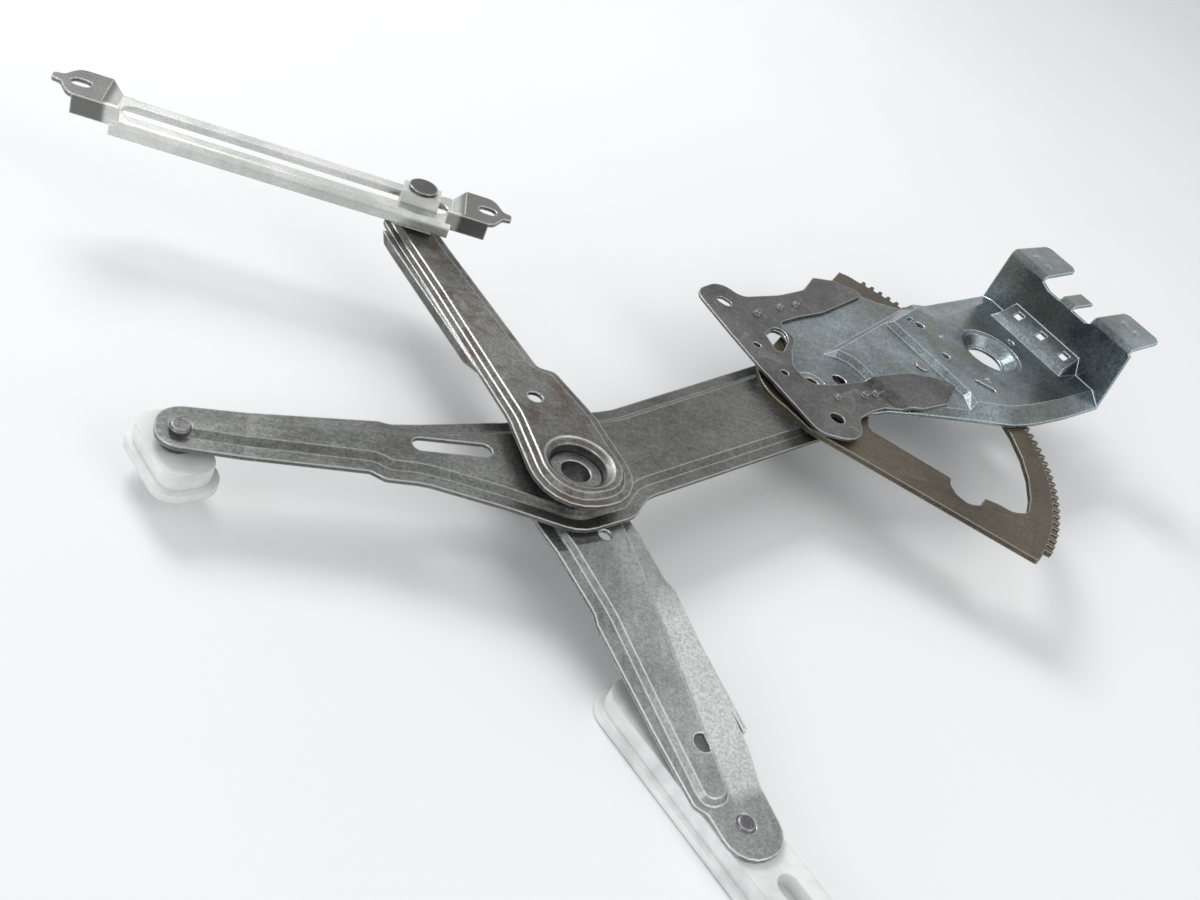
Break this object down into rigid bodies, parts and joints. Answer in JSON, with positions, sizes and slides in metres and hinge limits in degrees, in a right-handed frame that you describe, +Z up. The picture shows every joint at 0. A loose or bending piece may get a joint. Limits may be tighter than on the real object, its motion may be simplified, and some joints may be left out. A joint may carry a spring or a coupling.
{
  "type": "window regulator",
  "caption": "Scissor-arm car window regulator: toothed sector on a bent lift arm, crossed arms, slotted guide rail, glass shoes and a stepped mounting plate.",
  "frame": {"origin": "axis of the main pivot, level with the top face of the toothed sector", "axes": "+X along the guide rail towards the mounting plate, +Z up out of the flat linkage along every pivot axis"},
  "size_m": [0.6044, 0.4658, 0.0841],
  "materials": {
    "plate_zinc": "bright zinc with a bluish tint",
    "bracket_zinc": "dull dark zinc",
    "sector_steel": "brownish zinc",
    "lift_zinc": "satin zinc",
    "cross_zinc": "satin zinc with a slight rust tint",
    "lower_zinc": "bright zinc",
    "rail_zinc": "bright zinc with dull end tabs",
    "rivet_steel": "dark plated steel",
    "pin_steel": "turned steel",
    "shoe_plastic": "milky white nylon",
    "slider_plastic": "white acetal"
  },
  "bodies": {
    "bracket": {"base_plate": "plate_zinc", "front_bracket": "bracket_zinc", "bracket_clinches": "bracket_zinc", "plate_rivet": "rivet_steel", "pivot_rivet": "rivet_steel", "pivot_washer": "sector_steel"},
    "lift": {"lift_arm": "lift_zinc", "sector_gear": "sector_steel", "sector_rivets": "rivet_steel", "lift_shoe_pin": "pin_steel", "lift_shoe_collar": "pin_steel"},
    "cross": {"upper_cross_arm": "cross_zinc", "lower_cross_arm": "lower_zinc", "hub_rivet": "rivet_steel", "hub_washer": "rivet_steel", "lower_hub_washer": "rivet_steel", "guide_pin": "pin_steel", "guide_washer": "rivet_steel", "cross_shoe_pin": "pin_steel"},
    "slider": {"guide_slider": "slider_plastic"},
    "rail": {"guide_rail": "rail_zinc"},
    "lift_glass_shoe": {"lift_shoe": "shoe_plastic"},
    "cross_glass_shoe": {"cross_shoe": "shoe_plastic"}
  },
  "joints": [
    {"name": "lift_swing", "type": "hinge", "parent": "bracket", "child": "lift", "pos_m": [0, 0, 0], "axis": [0, 0, 1], "range_deg": [-33, 22]},
    {"name": "cross_swing", "type": "hinge", "parent": "lift", "child": "cross", "pos_m": [-0.12937, -0.11486, 0], "axis": [0, 0, 1], "range_deg": [-44, 66]},
    {"name": "guide_swivel", "type": "hinge", "parent": "cross", "child": "slider", "pos_m": [-0.21005, 0.03817, 0.0135], "axis": [0, 0, 1], "range_deg": [-33, 22]},
    {"name": "rail_slide", "type": "slide", "parent": "slider", "child": "rail", "axis": [-1, 0, 0], "range_m": [-0.115, 0.001]},
    {"name": "lift_shoe_swivel", "type": "hinge", "parent": "lift", "child": "lift_glass_shoe", "pos_m": [-0.28141, -0.13596, -0.02], "axis": [0, 0, 1], "range_deg": [-60, 60]},
    {"name": "cross_shoe_swivel", "type": "hinge", "parent": "cross", "child": "cross_glass_shoe", "pos_m": [-0.05778, -0.25064, -0.03], "axis": [0, 0, 1], "range_deg": [-60, 60]}
  ],
  "couplings": [
    {"joint": "cross_swing", "follows": "lift_swing", "ratio": -2},
    {"joint": "guide_swivel", "follows": "lift_swing", "ratio": 1}
  ]
}
